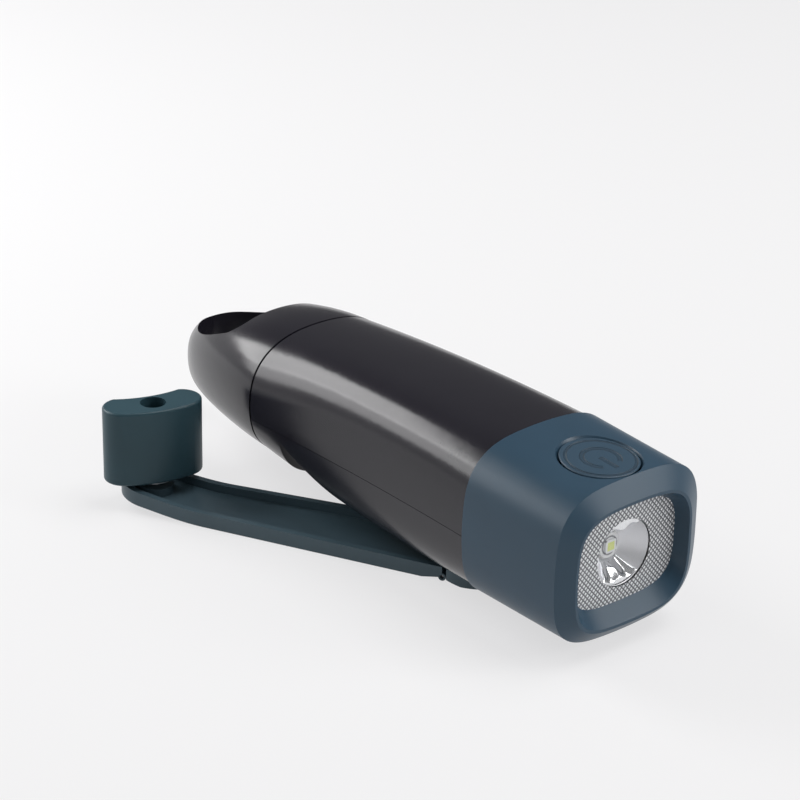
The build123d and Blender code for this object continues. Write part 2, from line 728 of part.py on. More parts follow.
def hub_bush():
    """Plain bush of the crank shaft in the lower shell."""
    radius = SHAFT_RADIUS + RUNNING_GAP
    sleeve = cylinder(radius + BUSH_WALL, BUSH_FOOT_Z, BUSH_TOP_Z)
    return sleeve - cylinder(radius, BUSH_FOOT_Z, BUSH_TOP_Z)


def hinge_pin():
    """Steel pin across the hub and the two ears of the arm."""
    length = 2 * (arm_half_width(PIN_DISTANCE) - ARM_RIM / 2)
    pin = Pos(PIN_DISTANCE, 0, KNUCKLE_RADIUS) * Rot(90, 0, 0) * Cylinder(PIN_RADIUS, length)
    return swung(pin)


def arm_half_width(distance):
    """Half width of the arm at a distance from the crank axis."""
    share = distance / CRANK_RADIUS
    return ARM_ROOT_HALF_WIDTH + share * (ARM_END_HALF_WIDTH - ARM_ROOT_HALF_WIDTH)


def arm_plan(start, inset):
    """Face of the arm in plan: straight tapered sides and a round end."""
    root = arm_half_width(start) - inset
    end = ARM_END_HALF_WIDTH - inset
    tip = CRANK_RADIUS + ARM_END_HALF_WIDTH - inset
    left = Line((start, root), (CRANK_RADIUS, end))
    bow = ThreePointArc((CRANK_RADIUS, end), (tip, 0), (CRANK_RADIUS, -end))
    right = Line((CRANK_RADIUS, -end), (start, -root))
    close = Line((start, -root), (start, root))
    return filled([left, bow, right, close])


def arm_band(low, high, start):
    """Band that follows the arm in side view, between two heights over its back."""
    tip = CRANK_RADIUS + ARM_END_HALF_WIDTH + ARM_RIM
    bend = (ARM_BEND_START + tip) / 2
    edges = []
    lower = Spline((ARM_BEND_START, 0, low), (bend, 0, low + ARM_TIP_RISE * 0.42),
                   (tip, 0, low + ARM_TIP_RISE * 1.1), tangents=[(1, 0, 0), (1, 0, 0.14)])
    upper = Spline((ARM_BEND_START, 0, high), (bend, 0, high + ARM_TIP_RISE * 0.42),
                   (tip, 0, high + ARM_TIP_RISE * 1.1), tangents=[(1, 0, 0), (1, 0, 0.14)])
    edges.append(Line((start, 0, low), (ARM_BEND_START, 0, low)))
    edges.append(lower)
    edges.append(Line(lower @ 1, upper @ 1))
    edges.append(upper)
    edges.append(Line((ARM_BEND_START, 0, high), (start, 0, high)))
    edges.append(Line((start, 0, high), (start, 0, low)))
    return side_profile(edges, ARM_ROOT_HALF_WIDTH + ARM_RIM)


def crank_arm():
    """Shallow channel with two ears at the hinge and a round, raised end."""
    cut = PIN_DISTANCE + KNUCKLE_RADIUS + KNUCKLE_GAP
    tip = CRANK_RADIUS + ARM_END_HALF_WIDTH
    plan = extrude(arm_plan(0, 0), amount=KNOB_BOTTOM_Z * 2, dir=(0, 0, 1))
    body = plan & arm_band(0, ARM_THICKNESS, 0)
    pocket = extrude(arm_plan(cut + ARM_RIM, ARM_RIM), amount=KNOB_BOTTOM_Z * 2, dir=(0, 0, 1))
    body -= pocket & arm_band(ARM_FLOOR, KNOB_BOTTOM_Z * 2, 0)
    relieved, pin = hinge_edge(1, tip, KNOB_BOTTOM_Z * 2, 0)
    body &= side_profile([relieved], ARM_ROOT_HALF_WIDTH + ARM_RIM)
    ears = Pos(*pin) * Rot(90, 0, 0) * Cylinder(KNUCKLE_RADIUS, 2 * arm_half_width(cut))
    slot = TONGUE_HALF_WIDTH + KNUCKLE_GAP
    gap = block(-HUB_RADIUS, cut, -slot, slot, -1, KNOB_BOTTOM_Z * 2)
    arm = body + ears - gap
    boss = cylinder(AXLE_COLLAR_RADIUS, ARM_FLOOR, KNOB_BOTTOM_Z * 2, CRANK_RADIUS)
    arm += boss & arm_band(ARM_FLOOR / 2, ARM_THICKNESS, 0)
    arm -= Pos(*pin) * Rot(90, 0, 0) * Cylinder(PIN_RADIUS + RUNNING_GAP, 4 * HUB_RADIUS)
    arm -= cylinder(AXLE_RADIUS, 0, KNOB_BOTTOM_Z * 2, CRANK_RADIUS)
    return swung(arm)


def knob_head_z():
    """Height at which the axle's head begins, inside the knob."""
    return KNOB_TOP_Z - KNOB_HOLE_DEPTH


def knob_axle():
    """Steel axle riveted in the arm, with a collar under the knob and a head in it."""
    stem = cylinder(AXLE_RADIUS, ARM_FLOOR + ARM_TIP_RISE / 2, knob_head_z())
    collar_foot = ARM_THICKNESS + ARM_TIP_RISE
    collar = cylinder(AXLE_COLLAR_RADIUS, collar_foot, KNOB_BOTTOM_Z - RUNNING_GAP)
    head_foot = knob_head_z() + RUNNING_GAP
    head = cylinder(AXLE_HEAD_RADIUS, head_foot, head_foot + AXLE_HEAD_HEIGHT)
    neck = cylinder(AXLE_RADIUS, knob_head_z(), head_foot)
    return swung(Pos(CRANK_RADIUS, 0) * (stem + collar + neck + head))


def knob_plan():
    """Bean outline: bowed outer side, hollow inner side, round ends."""
    shoulder_x, shoulder_y = KNOB_SHOULDER
    horn_x, horn_y = KNOB_HORN
    outer = ThreePointArc((-shoulder_x, shoulder_y), (0, KNOB_BULGE), (shoulder_x, shoulder_y))
    right = ThreePointArc((shoulder_x, shoulder_y), (KNOB_HALF_LENGTH, -1), (horn_x, -horn_y))
    inner = ThreePointArc((horn_x, -horn_y), (0, -KNOB_HOLLOW), (-horn_x, -horn_y))
    left = ThreePointArc((-horn_x, -horn_y), (-KNOB_HALF_LENGTH, -1), (-shoulder_x, shoulder_y))
    return filled([outer, right, inner, left])


def crank_knob():
    """Upright bean-shaped grip with a stepped bore."""
    grip = extrude(knob_plan(), amount=KNOB_TOP_Z - KNOB_BOTTOM_Z, dir=(0, 0, 1))
    grip = Pos(0, 0, KNOB_BOTTOM_Z) * grip
    rims = grip.edges().group_by(Axis.Z)
    grip = fillet(rims[-1] + rims[0], KNOB_EDGE)
    grip -= cylinder(AXLE_RADIUS + RUNNING_GAP, KNOB_BOTTOM_Z, KNOB_TOP_Z)
    grip -= cylinder(KNOB_HOLE_RADIUS, knob_head_z(), KNOB_TOP_Z)
    place = swung(Pos(CRANK_RADIUS, 0))
    return Pos(*place.position) * Rot(0, 0, KNOB_TURN + 180) * grip


# ---------------------------------------------------------------- tail
def tail_outline(share):
    """Section of the tail cap at a share of the way from the seam to the tip."""
    x = tail_front_x() + share * (TIP_X - tail_front_x())
    half_width = BODY_HALF_WIDTHS[2] * (1 - share ** TAPER_POWER) ** 0.5
    low = BODY_LOWS[2] + TAIL_LOW_RISE * share ** 1.6
    crown = BODY_CROWNS[2] - TAIL_CROWN_DROP * share ** 2
    shrink = (1 - share ** TIP_ROUNDING) ** 0.5
    middle = (low + crown) / 2
    half_height = (crown - low) / 2 * shrink
    return outline(x, half_width, middle - half_height, middle + half_height, BODY_POWERS[2])


def tail_front_x():
    """Front face of the tail cap, behind the seam groove."""
    return TAIL_SEAM_X - TAIL_SEAM_GAP


def neck_outline(x, grow):
    """Edge of the neck, grown by a margin."""
    return outline(x, NECK_HALF_WIDTH + grow, NECK_CENTRE_Z - NECK_HALF_HEIGHT - grow,
                   NECK_CENTRE_Z + NECK_HALF_HEIGHT + grow, NECK_POWER)


def loop_hole():
    """Half-oval hole of the carry loop, straight through from top to bottom."""
    oval = Ellipse(LOOP_LENGTH, LOOP_HALF_WIDTH)
    front = LOOP_FRONT_X - LOOP_CENTRE_X
    rear_part = Pos(-LOOP_LENGTH / 2, 0) * Rectangle(LOOP_LENGTH, 2 * LOOP_HALF_WIDTH)
    front_part = Pos(front / 2, 0) * Rectangle(front, 2 * LOOP_HALF_WIDTH)
    face = (oval & rear_part) + front_part
    corners = face.vertices().sort_by(Axis.X)[-2:]
    face = fillet(corners, LOOP_CORNER)
    return Pos(LOOP_CENTRE_X, 0, 0) * extrude(face, amount=2 * PARTING_Z)


def tail_cap():
    """Looped cap: tapering form, carry hole and the neck's socket."""
    faces = []
    steps = 10
    for k in range(steps):
        faces.append(tail_outline(math.sin(math.pi / 2 * k / steps)))
    faces.append(tail_outline(0.997))
    cap = loft(faces) - loop_hole()
    return cap - slab(neck_outline(tail_front_x(), NECK_CLEARANCE), -(NECK_LENGTH + 1))


def rear_bulkhead():
    """Closes the rear of the body and carries the hollow neck."""
    front = TAIL_SEAM_X + BULKHEAD_THICKNESS
    plate = body_form(front, TAIL_SEAM_X, BODY_WALL + NECK_CLEARANCE)
    neck = slab(neck_outline(front, 0), -(NECK_LENGTH + BULKHEAD_THICKNESS))
    depth = NECK_LENGTH + BULKHEAD_THICKNESS - NECK_WALL
    hollow = slab(neck_outline(front, -NECK_WALL), -depth)
    return plate + neck - hollow - ring_groove() - socket_pocket()


def neck_end_x():
    """Rear end of the neck."""
    return TAIL_SEAM_X - NECK_LENGTH


def ring_groove():
    """Groove round the neck for the sealing ring."""
    front = neck_end_x() + RING_FROM_END
    ring = slab(neck_outline(front, NECK_CLEARANCE), -RING_WIDTH)
    return ring - slab(neck_outline(front, -RING_DEPTH), -RING_WIDTH)


def o_ring():
    """Sealing ring that fills its groove and stands a little proud of the neck."""
    front = neck_end_x() + RING_FROM_END
    ring = slab(neck_outline(front, NECK_CLEARANCE - RUNNING_GAP), -RING_WIDTH)
    return ring - slab(neck_outline(front, -RING_DEPTH), -RING_WIDTH)


def socket_pocket():
    """Opening in the neck's end for the charging socket."""
    end = neck_end_x()
    half_width = SOCKET_WIDTH / 2
    half_height = SOCKET_HEIGHT / 2
    return block(end, end + SOCKET_DEPTH, -half_width, half_width,
                 NECK_CENTRE_Z - half_height, NECK_CENTRE_Z + half_height)


def usb_socket():
    """Charging socket: thin steel shell with a tongue, open to the rear."""
    end = neck_end_x()
    half_width = SOCKET_WIDTH / 2 - SOCKET_WALL
    half_height = SOCKET_HEIGHT / 2 - SOCKET_WALL
    inside = block(end, end + SOCKET_DEPTH - SOCKET_WALL, -half_width, half_width,
                   NECK_CENTRE_Z - half_height, NECK_CENTRE_Z + half_height)
    tongue = block(end + SOCKET_WALL, end + SOCKET_DEPTH, -half_width * 0.7, half_width * 0.7,
                   NECK_CENTRE_Z - SOCKET_WALL, NECK_CENTRE_Z + SOCKET_WALL)
    return socket_pocket() - inside + tongue


# ---------------------------------------------------------------- all nodes
PARTS = {
    "upper_shell": upper_shell, "lower_shell": lower_shell, "shell_screws": shell_screws,
    "head_shell": head_shell, "power_button": power_button, "front_lens": front_lens,
    "lens_gasket": lens_gasket, "reflector": reflector, "led_board": led_board,
    "led_package": led_package, "light_carrier": light_carrier, "main_board": main_board,
    "tact_switch": tact_switch, "battery_cell": battery_cell, "battery_cradle": battery_cradle,
    "drive_gear": drive_gear, "idler_gear_1": idler_gear_1, "idler_gear_2": idler_gear_2,
    "gear_axles": gear_axles, "gearbox_plate": gearbox_plate, "rotor_shaft": rotor_shaft,
    "rotor_pinion": rotor_pinion, "rotor_magnet": rotor_magnet,
    "generator_stator": generator_stator, "generator_coil": generator_coil,
    "hub_bush": hub_bush, "hub_shaft": hub_shaft, "crank_hub": crank_hub,
    "hinge_pin": hinge_pin, "crank_arm": crank_arm, "knob_axle": knob_axle,
    "crank_knob": crank_knob, "tail_cap": tail_cap, "rear_bulkhead": rear_bulkhead,
    "o_ring": o_ring, "usb_socket": usb_socket,
}

os.makedirs("parts", exist_ok=True)
for name, make in PARTS.items():
    export_step(make(), f"parts/{name}.step")
    print(name)
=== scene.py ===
# %% [markdown]
# # A hand crank flashlight, dressed for its picture
#
# The solid model already holds every part at its real size. This file gives the parts their
# finishes and adds what only the eye needs: the prism pattern of the lens, the bright fittings
# round the light source, a button cap that follows the head, and the sign on that cap. The camera
# comes first, so that each finish can be judged through it. The floor and the lamps come last.

import json
import math

import bpy
import numpy as np
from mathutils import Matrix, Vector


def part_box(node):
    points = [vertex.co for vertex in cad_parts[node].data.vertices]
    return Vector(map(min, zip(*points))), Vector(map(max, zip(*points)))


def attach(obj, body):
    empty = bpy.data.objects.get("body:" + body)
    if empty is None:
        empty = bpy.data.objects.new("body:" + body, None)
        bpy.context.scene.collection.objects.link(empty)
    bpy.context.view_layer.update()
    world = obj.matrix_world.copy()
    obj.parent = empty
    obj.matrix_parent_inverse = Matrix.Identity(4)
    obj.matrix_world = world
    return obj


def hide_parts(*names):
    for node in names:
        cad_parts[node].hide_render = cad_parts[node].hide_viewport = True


MM = 0.001
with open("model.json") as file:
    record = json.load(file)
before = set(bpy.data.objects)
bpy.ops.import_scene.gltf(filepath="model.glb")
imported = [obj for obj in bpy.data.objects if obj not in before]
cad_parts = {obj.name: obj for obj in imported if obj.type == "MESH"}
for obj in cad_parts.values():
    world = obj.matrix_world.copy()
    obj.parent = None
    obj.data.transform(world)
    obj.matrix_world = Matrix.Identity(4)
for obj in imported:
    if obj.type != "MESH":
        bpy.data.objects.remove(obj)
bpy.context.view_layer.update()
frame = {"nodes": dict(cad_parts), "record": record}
print("solid nodes:", len(frame["nodes"]))

# %% [markdown]
# ## The camera
#
# The picture was taken from in front of the lamp, well to the near side and from above. A long
# lens keeps the parallel edges of the body almost parallel. The camera also leans by about a
# degree. A Track To constraint could aim it, but a constraint has no lean, so the whole pose is
# written as a matrix: right, up and backward directions, then the place.

# %% Camera
CAMERA_PLACE = np.array([437.79, -406.73, 317.94]) * MM
CAMERA_AIM = np.array([-0.69085, 0.59464, -0.41125])
CAMERA_LEAN = math.radians(1.37)
CAMERA_LENS = 111.7


def camera_axes(aim, lean):
    """Right and up directions of a camera that looks along aim and leans by an angle."""
    level = np.cross(aim, (0, 0, 1))
    level /= np.linalg.norm(level)
    upright = np.cross(level, aim)
    right = math.cos(lean) * level + math.sin(lean) * upright
    up = math.cos(lean) * upright - math.sin(lean) * level
    return right, up


aim = CAMERA_AIM / np.linalg.norm(CAMERA_AIM)
right, up = camera_axes(aim, CAMERA_LEAN)
pose = np.eye(4)
pose[:3, 0] = right
pose[:3, 1] = up
pose[:3, 2] = -aim
pose[:3, 3] = CAMERA_PLACE

scene = bpy.context.scene
scene.view_settings.view_transform = "Standard"
camera = bpy.data.objects.new("camera", bpy.data.cameras.new("camera"))
camera.data.lens = CAMERA_LENS
camera.data.sensor_width = 36
camera.data.clip_start = 0.01
camera.matrix_world = pose.T.tolist()
scene.collection.objects.link(camera)
scene.camera = camera
print("camera to origin, mm:", round(float(np.linalg.norm(CAMERA_PLACE)) / MM))

# %% [markdown]
# ## Shader maths as Python expressions
#
# A finish is a chain of small sums: a noise here, a mask there, one mixed over the other. Drawn
# as nodes, such a chain is hard to read. The class below wraps a socket, so that the sum can be
# written as one. Each operator adds the Math node that it stands for. Any other node comes from
# the method `node`.


# %% Socket wrapper
class Signal:
    """A value in a material's node tree that can be used in Python expressions."""

    def __init__(self, tree, socket=None):
        self.tree = tree
        self.socket = socket

    def node(self, kind, sockets, output=0, **settings):
        """New node of a kind: its settings first, then its sockets' values or links."""
        made = self.tree.nodes.new(kind)
        for name, value in settings.items():
            setattr(made, name, value)
        for key, value in sockets.items():
            feed(self.tree, made.inputs[key], value)
        return Signal(self.tree, made.outputs[output])

    def math(self, operation, *others):
        """Math node on this signal and the others."""
        return self.node("ShaderNodeMath", dict(enumerate((self, *others))), operation=operation)

    def __add__(self, other):
        return self.math("ADD", other)

    def __sub__(self, other):
        return self.math("SUBTRACT", other)

    def __mul__(self, other):
        return self.math("MULTIPLY", other)

    def __rsub__(self, other):
        return (self * -1) + other

    def __lt__(self, other):
        return self.math("LESS_THAN", other)

    def __gt__(self, other):
        return self.math("GREATER_THAN", other)

    __radd__ = __add__
    __rmul__ = __mul__

    def fade(self, start, end):
        """0 where the value is start, 1 where it is end, and smooth between."""
        limits = {"Value": self, "From Min": start, "From Max": end}
        return self.node("ShaderNodeMapRange", limits, interpolation_type="SMOOTHSTEP")


def feed(tree, socket, value):
    """Link a signal to a socket, or set the socket's own value."""
    if isinstance(value, Signal):
        tree.links.new(value.socket, socket)
    else:
        socket.default_value = value


# %% [markdown]
# ## Small helpers for every finish
#
# All patterns are laid out in Object coordinates, turned into millimetres. They stay put on a
# piece when it moves, and a number in a pattern is a real size.


# %% Material helpers
def new_material(name):
    """A material, its shader node and a signal to start from."""
    material = bpy.data.materials.new(name)
    material.use_nodes = True
    shader = material.node_tree.nodes["Principled BSDF"]
    return material, shader, Signal(material.node_tree)


def place(start):
    """Object coordinates in millimetres."""
    where = start.node("ShaderNodeTexCoord", {}, output=3)
    return where.node("ShaderNodeMapping", {"Vector": where, "Scale": (1 / MM, 1 / MM, 1 / MM)})


def axis(where, number):
    """One coordinate of a place or a direction: number 0 is x, 1 is y and 2 is z."""
    return where.node("ShaderNodeSeparateXYZ", {"Vector": where}, output=number)


def noise(where, pitch, detail=2.0):
    """Noise whose blotches are about pitch millimetres apart, from 0 to 1."""
    return where.node("ShaderNodeTexNoise", {"Vector": where, "Scale": 1 / pitch, "Detail": detail})


def blend(share, first, second):
    """Colour between two colours, by a share from 0 to 1. A colour is a signal or four numbers."""
    colors = {0: share, 6: first, 7: second}
    return share.node("ShaderNodeMix", colors, output=2, data_type="RGBA")


def tinted(share, first, second):
    """Colour between two plain colours of three numbers each."""
    return blend(share, (*first, 1), (*second, 1))


# %% [markdown]
# ## One recipe for moulded and metal finishes
#
# Injection moulded plastic takes the grain of its mould: thousands of tiny pits that blur the
# reflection. A noise at the pits' real size goes into a Bump node, and a larger, weaker noise
# varies colour and gloss, as handling does. Metals use the same recipe with other numbers.

# %% Finish recipe
PATCH_SIZE = 14.0
PATCH_ROUGHNESS = 0.08
GRAIN_STRENGTH = 0.35


def moulded(name, color, roughness, grain=0.35, depth=0.02, metallic=0.0, drift=0.12, gloss=0.5):
    """Finish with a fine grain, and a slow drift of colour and gloss over the surface."""
    material, shader, start = new_material(name)
    where = place(start)
    patches = noise(where, PATCH_SIZE, 3.0)
    paler = tuple(min(1.0, c * (1 + drift)) for c in color)
    darker = tuple(c * (1 - drift) for c in color)
    feed(start.tree, shader.inputs["Base Color"], tinted(patches, darker, paler))
    feed(start.tree, shader.inputs["Roughness"], roughness + (patches - 0.5) * PATCH_ROUGHNESS)
    pits = noise(where, grain, 1.0)
    bump = {"Height": pits, "Strength": GRAIN_STRENGTH, "Distance": depth * MM}
    feed(start.tree, shader.inputs["Normal"], start.node("ShaderNodeBump", bump))
    shader.inputs["Metallic"].default_value = metallic
    shader.inputs["Specular IOR Level"].default_value = gloss
    return material


# %% [markdown]
# ## The finishes of this flashlight
#
# The body is a smooth, almost black plastic with a violet tinge. The head, the crank and its knob
# are teal and feel softer: rougher, so their highlights are wide and faint. The knob's teal is a
# little greener than the head's. The arm's teal is paler, which is painted light: it stands in for
# light that the body's shadow keeps off the arm. What is inside the body isn't in the picture, and
# still gets its own finish, so that the model can be taken apart.

# %% Finishes
CHARCOAL = (0.0135, 0.0125, 0.0185)
TEAL = (0.026, 0.061, 0.098)
# Paler, greyer copy of the teal: painted light for the crank arm and hub.
ARM_TEAL_PAINTED_LIGHT = (0.059, 0.1, 0.125)
KNOB_TEAL = (0.026, 0.062, 0.08)

body_plastic = moulded("body_plastic", CHARCOAL, 0.21, grain=0.4, depth=0.006, gloss=0.44)
teal_soft = moulded("teal_soft", TEAL, 0.38, grain=0.3, depth=0.015, gloss=0.4)
# The arm's finish carries the painted light of its paler teal.
arm_teal_painted_light = moulded("arm_teal_painted_light", ARM_TEAL_PAINTED_LIGHT, 0.42, grain=0.3, depth=0.015, gloss=0.48)
knob_soft = moulded("knob_soft", KNOB_TEAL, 0.4, grain=0.3, depth=0.015, gloss=0.3)
seal_rubber = moulded("seal_rubber", (0.012, 0.012, 0.012), 0.6, depth=0.03)
inner_black = moulded("inner_black", (0.015, 0.015, 0.016), 0.5)
board_green = moulded("board_green", (0.01, 0.09, 0.03), 0.35, grain=1.2)
gear_white = moulded("gear_white", (0.62, 0.6, 0.54), 0.4, depth=0.01)
cell_sleeve = moulded("cell_sleeve", (0.03, 0.11, 0.3), 0.3, depth=0.01)
board_metal = moulded("board_metal", (0.75, 0.75, 0.73), 0.45)
steel = moulded("steel", (0.55, 0.55, 0.56), 0.28, metallic=1.0, grain=0.2, depth=0.01)
dark_steel = moulded("dark_steel", (0.2, 0.2, 0.22), 0.35, metallic=1.0, grain=0.2, depth=0.01)
sheet_metal = moulded("sheet_metal", (0.66, 0.67, 0.69), 0.33, metallic=1.0, depth=0.01)
copper = moulded("copper", (0.62, 0.24, 0.1), 0.3, metallic=1.0, grain=0.3)
bronze = moulded("bronze", (0.5, 0.34, 0.15), 0.35, metallic=1.0)
plated = moulded("plated", (0.78, 0.79, 0.81), 0.12, metallic=1.0, depth=0.005, drift=0.03)

# The emitter and the clear lens are plated only for now: both get their own look further down.
SLOT_FINISH = {
    "body_plastic": body_plastic, "teal_soft": teal_soft, "seal": seal_rubber,
    "inner_black": inner_black, "board_green": board_green, "gear_white": gear_white,
    "cell": cell_sleeve, "board_metal": board_metal, "steel": steel, "magnet": dark_steel,
    "plate": sheet_metal, "copper": copper, "bronze": bronze, "plated": plated,
    "emitter": plated, "clear": plated,
}
node_slot = {part["node"]: part["material_slot"] for part in frame["record"]["subparts"]}
for name, node in frame["nodes"].items():
    node.data.materials.clear()
    node.data.materials.append(SLOT_FINISH[node_slot[name]])
# The crank arm and hub take the paler teal, whose extra brightness is painted light.
for name in ("crank_arm", "crank_hub"):
    frame["nodes"][name].data.materials[0] = arm_teal_painted_light
frame["nodes"]["crank_knob"].data.materials[0] = knob_soft
print("slots with a finish:", len(SLOT_FINISH))

# %% [markdown]
# ## Surfaces worked out as grids
#
# The pieces added here are smooth forms, and each is a formula of two parameters. numpy works out
# the whole grid of points at once, and the mesh gets a face between every four neighbours. They
# could be modelled by hand, but then a change of size would mean modelling them again.


# %% Surface from a grid
def surface(name, points, material, body, closed=False):
    """Mesh over a grid of points, shape (rows, columns, 3) in millimetres, riding on a body.

    A closed surface also joins its last column to its first. The faces look along the cross
    product of a step to the next row and a step to the next column: with rows that run away
    from the middle and columns that turn from y to z, that is along x.
    """
    rows, columns = points.shape[:2]
    number = np.arange(rows * columns).reshape(rows, columns)
    if closed:
        number = np.concatenate([number, number[:, :1]], axis=1)
    quads = np.stack([number[:-1, :-1], number[1:, :-1], number[1:, 1:], number[:-1, 1:]], -1)
    mesh = bpy.data.meshes.new(name)
    mesh.from_pydata((points.reshape(-1, 3) * MM).tolist(), [], quads.reshape(-1, 4).tolist())
    mesh.shade_smooth()
    piece = bpy.data.objects.new(name, mesh)
    scene.collection.objects.link(piece)
    mesh.materials.append(material)
    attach(piece, body)
    print(name, "faces:", len(mesh.polygons))
    return piece


# %% [markdown]
# ## The prism field of the lens
#
# The lens is one clear moulding. A round window in the middle is left smooth, and round it a
# field of tiny pyramids stands in diagonal rows, which scatters the light to the sides. The
# bright plate behind makes the pyramids look silver, and that look is painted into their colour:
# painted shade in the gaps and a painted glint of the plate on the tips. The pyramids are about a
# millimetre apart, too many to be worth a mesh, so a Bump node draws them: of two triangle waves
# that run along the two diagonals, the lower one is the height of a pyramid.

# %% Shape of the prism field
lens_low, lens_high = (np.array(corner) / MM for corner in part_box("front_lens"))
LENS_FACE = lens_high[0]
LAMP_Z = (lens_low[2] + lens_high[2]) / 2
LENS_HALF = (lens_high[1] - lens_low[1]) / 2, (lens_high[2] - lens_low[2]) / 2
LENS_POWER = 3.6
LENS_MARGIN = 0.1
WINDOW_RADIUS = 9.3


def superellipse(angle, half_width, half_height, power):
    """Points (y, z): cosine and sine of the angle, each raised to 2/power, times the halves."""
    c, s = np.cos(angle), np.sin(angle)
    across = half_width * np.sign(c) * np.abs(c) ** (2 / power)
    upward = half_height * np.sign(s) * np.abs(s) ** (2 / power)
    return across, upward


def lens_ring():
    """Flat sheet: points evenly divided between the window's circle and the edge of the lens."""
    angle = np.linspace(0, 2 * np.pi, 161)[:-1]
    share = np.linspace(0, 1, 9)[:, None]
    half_width, half_height = (half - LENS_MARGIN for half in LENS_HALF)
    edge_y, edge_z = superellipse(angle, half_width, half_height, LENS_POWER)
    direction = np.arctan2(edge_z, edge_y)
    y = (1 - share) * WINDOW_RADIUS * np.cos(direction) + share * edge_y
    z = (1 - share) * WINDOW_RADIUS * np.sin(direction) + share * edge_z
    return np.stack([np.full_like(y, LENS_FACE), y, z + LAMP_Z], -1)


print("lens half width and half height, mm:", np.round(LENS_HALF, 1))

# %% Prisms
PRISM_PITCH = 1.02
PRISM_ROW = PRISM_PITCH * 1.41
PRISM_SLANT = 0.9
PRISM_HEIGHT = 0.2
PRISM_FOOT = 0.12
PRISM_SHOULDER = 0.62
# Painted shade for the gaps between the pyramids, and painted glint for their tips.
PRISM_PAINTED_SHADE = (0.15, 0.155, 0.17)
PRISM_PAINTED_GLINT = (0.95, 0.96, 0.98)


def triangle_wave(along, period):
    """Rises from 0 to 1 and falls back over each period."""
    return (along * (1 / period)).math("PINGPONG", 0.5) * 2


def prism_material():
    """Rows of small pyramids: painted shade in the gaps, and a painted glint of the bright plate on
    the tips.
    """
    material, shader, start = new_material("prism_field")
    where = place(start)
    y = axis(where, 1)
    z = axis(where, 2)
    rows = triangle_wave(y + z * PRISM_SLANT, PRISM_ROW)
    columns = triangle_wave(y - z * PRISM_SLANT, PRISM_ROW)
    height = rows.math("MINIMUM", columns)
    painted_glint_share = height.fade(PRISM_FOOT, PRISM_SHOULDER)
    # Painted light: the colour runs from shade in the gaps to a glint on the tips, by height.
    feed(start.tree, shader.inputs["Base Color"], tinted(painted_glint_share, PRISM_PAINTED_SHADE, PRISM_PAINTED_GLINT))
    bump = {"Height": height, "Strength": 1.0, "Distance": PRISM_HEIGHT * MM}
    feed(start.tree, shader.inputs["Normal"], start.node("ShaderNodeBump", bump))
    shader.inputs["Metallic"].default_value = 0.5
    shader.inputs["Roughness"].default_value = 0.3
    return material


prism_field = surface("prism_field", lens_ring(), prism_material(), "housing", True)
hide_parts("front_lens")

# %% [markdown]
# ## The window
#
# The middle of the lens is smooth, so that the light source can be seen. Its face is a low dome,
# whose edge sinks a third of a millimetre behind the prisms. A glass shader would bend the light
# and take many samples to look clean. The window is so thin that the bending hardly shows, so an
# almost transparent surface that keeps its gloss does as well.

# %% Window
WINDOW_POLE = 0.05
WINDOW_BULGE = 0.35
WINDOW_HAZE = 0.1
WINDOW_HAZE_DRIFT = 0.06


def clear_material():
    """Clear hard plastic: almost nothing but its gloss is seen."""
    material, shader, start = new_material("clear_window")
    haze = noise(place(start), 6.0)
    shader.inputs["Base Color"].default_value = (0.9, 0.92, 0.94, 1)
    shader.inputs["Roughness"].default_value = 0.05
    feed(start.tree, shader.inputs["Alpha"], WINDOW_HAZE + haze * WINDOW_HAZE_DRIFT)
    return material


def window_disc():
    """Rings about the lamp's axis; each falls back by the bulge times its radius share squared."""
    angle = np.linspace(0, 2 * np.pi, 97)[:-1]
    radius = np.linspace(WINDOW_POLE, WINDOW_RADIUS, 12)[:, None]
    fall = WINDOW_BULGE * (radius / WINDOW_RADIUS) ** 2 + 0 * angle
    y = radius * np.cos(angle)
    z = radius * np.sin(angle) + LAMP_Z
    return np.stack([LENS_FACE - fall, y, z], -1)


surface("lens_window", window_disc(), clear_material(), "housing", True)

# %% [markdown]
# ## The satin cone
#
# Behind the window a satin cone leads down to the light source. A Spin of a profile would make
# it, and the grid below is the same thing written as a formula: a radius and a depth, carried
# round the axis of the lamp. The profile is slightly curved, so that the shade changes along it.

# %% Cone
bowl_low = np.array(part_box("reflector")[0]) / MM
CONE_BACK = bowl_low[0] + 0.15
CONE_FRONT = LENS_FACE - 0.5
CONE_THROAT = 3.9
CONE_MOUTH = WINDOW_RADIUS - 0.05
CONE_CURVE = 1.25

satin = moulded("satin_plate", (0.8, 0.8, 0.83), 0.42, metallic=0.55, depth=0.004, drift=0.03)


def cone_depth(radius):
    """Place along the axis: from the back to the front, by the radius share to a power."""
    share = (radius - CONE_THROAT) / (CONE_MOUTH - CONE_THROAT)
    return CONE_BACK + (CONE_FRONT - CONE_BACK) * share ** CONE_CURVE


def satin_cone():
    """Open cone between the light source and the edge of the window."""
    turn = np.linspace(0, 2 * np.pi, 121)[:-1]
    radius = np.linspace(CONE_THROAT, CONE_MOUTH, 16)[:, None]
    x = cone_depth(radius) + 0 * turn
    return np.stack([x, radius * np.cos(turn), LAMP_Z + radius * np.sin(turn)], -1)


surface("satin_cone", satin_cone(), satin, "housing", True)

# %% [markdown]
# ## The chromed lobes
#
# Above and below the light source two chromed lobes stand in the cone. Each is a sector of the
# cone, lifted towards the window: a full arch along its length, so that both ends sink into the
# cone, and flutes across. A separate solid could be set into the cone, but a lifted sheet fits it
# exactly and has no hidden faces.

# %% Lobes
LOBE_HALF_ANGLE = math.radians(40)
LOBE_INSET = 0.1
LOBE_FRONT = LENS_FACE - 0.7
LOBE_ABOVE_LIFT = 3.4
LOBE_BELOW_LIFT = 2.3
LOBE_FLUTES = 1.5
FLUTE_DEPTH = 0.25

chrome = moulded("chrome_plate", (0.86, 0.87, 0.89), 0.1, metallic=1.0, depth=0.001, drift=0.02)


